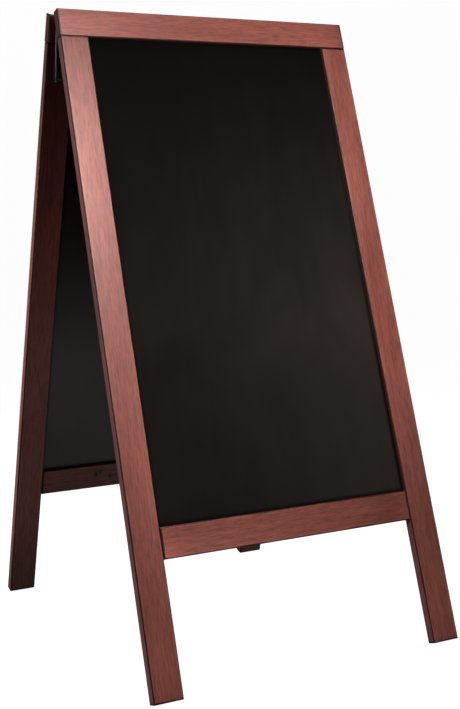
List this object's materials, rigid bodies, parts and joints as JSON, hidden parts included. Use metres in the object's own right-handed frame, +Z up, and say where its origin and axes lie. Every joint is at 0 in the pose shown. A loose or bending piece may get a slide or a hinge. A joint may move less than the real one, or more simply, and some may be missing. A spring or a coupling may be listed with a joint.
{
  "type": "sandwich board",
  "caption": "A-shaped pavement sign: framed wooden chalkboard leaves, capped by their top rails, that fold flat on pressed steel stop hinges.",
  "frame": {"origin": "on the floor, midway between the four feet and right below the hinge pins, with the board standing open", "axes": "+Z up, +X across the board to the right as seen from the front, -Y towards the front"},
  "size_m": [0.6, 0.7602, 1.1572],
  "materials": {
    "stained_timber": "mahogany stain under satin lacquer",
    "dowel_beech": "bare",
    "chalkboard_black": "hardboard painted matt chalkboard black",
    "hinge_steel": "pressed, dull zinc plated",
    "pin_steel": "riveted, zinc plated",
    "screw_steel": "zinc plated"
  },
  "bodies": {
    "front_leaf": {"front_bottom_rail": "stained_timber", "front_chalkboard_panel": "chalkboard_black", "front_left_bottom_dowel_lower": "dowel_beech", "front_left_bottom_dowel_upper": "dowel_beech", "front_left_hinge_arm": "hinge_steel", "front_left_hinge_screw_bottom": "screw_steel", "front_left_hinge_screw_middle": "screw_steel", "front_left_hinge_screw_top": "screw_steel", "front_left_stile": "stained_timber", "front_left_top_dowel_inner": "dowel_beech", "front_left_top_dowel_outer": "dowel_beech", "front_right_bottom_dowel_lower": "dowel_beech", "front_right_bottom_dowel_upper": "dowel_beech", "front_right_hinge_arm": "hinge_steel", "front_right_hinge_screw_bottom": "screw_steel", "front_right_hinge_screw_middle": "screw_steel", "front_right_hinge_screw_top": "screw_steel", "front_right_stile": "stained_timber", "front_right_top_dowel_inner": "dowel_beech", "front_right_top_dowel_outer": "dowel_beech", "front_top_rail": "stained_timber"},
    "rear_leaf": {"rear_bottom_rail": "stained_timber", "rear_chalkboard_panel": "chalkboard_black", "rear_left_bottom_dowel_lower": "dowel_beech", "rear_left_bottom_dowel_upper": "dowel_beech", "rear_left_hinge_arm": "hinge_steel", "rear_left_hinge_screw_bottom": "screw_steel", "rear_left_hinge_screw_middle": "screw_steel", "rear_left_hinge_screw_top": "screw_steel", "rear_left_stile": "stained_timber", "rear_left_top_dowel_inner": "dowel_beech", "rear_left_top_dowel_outer": "dowel_beech", "rear_right_bottom_dowel_lower": "dowel_beech", "rear_right_bottom_dowel_upper": "dowel_beech", "rear_right_hinge_arm": "hinge_steel", "rear_right_hinge_screw_bottom": "screw_steel", "rear_right_hinge_screw_middle": "screw_steel", "rear_right_hinge_screw_top": "screw_steel", "rear_right_stile": "stained_timber", "rear_right_top_dowel_inner": "dowel_beech", "rear_right_top_dowel_outer": "dowel_beech", "rear_top_rail": "stained_timber", "left_hinge_pin": "pin_steel", "left_stop_pin": "pin_steel", "right_hinge_pin": "pin_steel", "right_stop_pin": "pin_steel"}
  },
  "joints": [
    {"name": "leaf_hinge", "type": "hinge", "parent": "front_leaf", "child": "rear_leaf", "pos_m": [0, 0, 1.137], "axis": [-1, 0, 0], "range_deg": [0, 34]}
  ]
}
